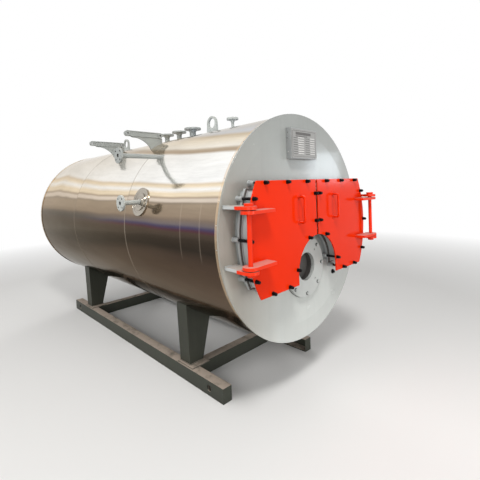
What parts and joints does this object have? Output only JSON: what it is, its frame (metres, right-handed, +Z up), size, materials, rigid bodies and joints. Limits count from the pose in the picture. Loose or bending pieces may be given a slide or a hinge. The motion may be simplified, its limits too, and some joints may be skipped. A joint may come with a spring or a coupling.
{
  "type": "industrial boiler",
  "caption": "Horizontal fire-tube steam boiler on a skid: a clad drum on legs and channel rails, with two hinged smoke box doors round a burner opening.",
  "frame": {"origin": "on the floor, under the middle of the front cross member", "axes": "+Z up, the front with the doors faces -Y, +X is right seen from the front"},
  "size_m": [2.372, 5.466, 2.9498],
  "materials": {
    "plate_grey": "satin",
    "door_red": "semi-gloss",
    "cladding_steel": "polished",
    "frame_grey": "matt",
    "stud_black": "satin",
    "seal_black": "woven rope",
    "lining": "rough cast"
  },
  "bodies": {
    "boiler": {"front_plate": "plate_grey", "drum_shell": "cladding_steel", "rear_plate": "plate_grey", "trim_bands": "cladding_steel", "burner_plate": "plate_grey", "burner_throat": "lining", "smoke_box_collar": "plate_grey", "door_seal": "seal_black", "door_studs": "stud_black", "left_hinge_bracket": "plate_grey", "right_hinge_bracket": "plate_grey", "hinge_lugs": "door_red", "left_hinge_pin": "door_red", "right_hinge_pin": "door_red", "nameplate_box": "plate_grey", "data_plate": "cladding_steel", "steam_nozzle": "plate_grey", "valve_nozzles": "plate_grey", "gauge_nozzle": "plate_grey", "lifting_lugs": "plate_grey", "side_brackets": "plate_grey", "upper_level_pipe": "plate_grey", "lower_level_pipe": "plate_grey", "level_escutcheon": "cladding_steel", "left_rail": "frame_grey", "right_rail": "frame_grey", "rail_end_caps": "frame_grey", "cross_members": "frame_grey", "leg_pads": "frame_grey", "legs": "frame_grey", "rear_smoke_box": "plate_grey", "rear_cover": "plate_grey", "flue_outlet": "plate_grey"},
    "left_door_body": {"left_door": "door_red", "left_door_box": "plate_grey", "left_door_lining": "lining", "left_door_arms": "door_red", "left_door_handle": "door_red", "left_door_nuts": "stud_black"},
    "right_door_body": {"right_door": "door_red", "right_door_box": "plate_grey", "right_door_lining": "lining", "right_door_arms": "door_red", "right_door_handle": "door_red", "right_door_nuts": "stud_black"}
  },
  "joints": [
    {"name": "left_door_hinge", "type": "hinge", "parent": "boiler", "child": "left_door_body", "pos_m": [-1, -1.268, 1.6645], "axis": [0, 0, -1], "range_deg": [0, 110]},
    {"name": "right_door_hinge", "type": "hinge", "parent": "boiler", "child": "right_door_body", "pos_m": [1, -1.268, 1.6645], "axis": [0, 0, 1], "range_deg": [0, 110]}
  ]
}
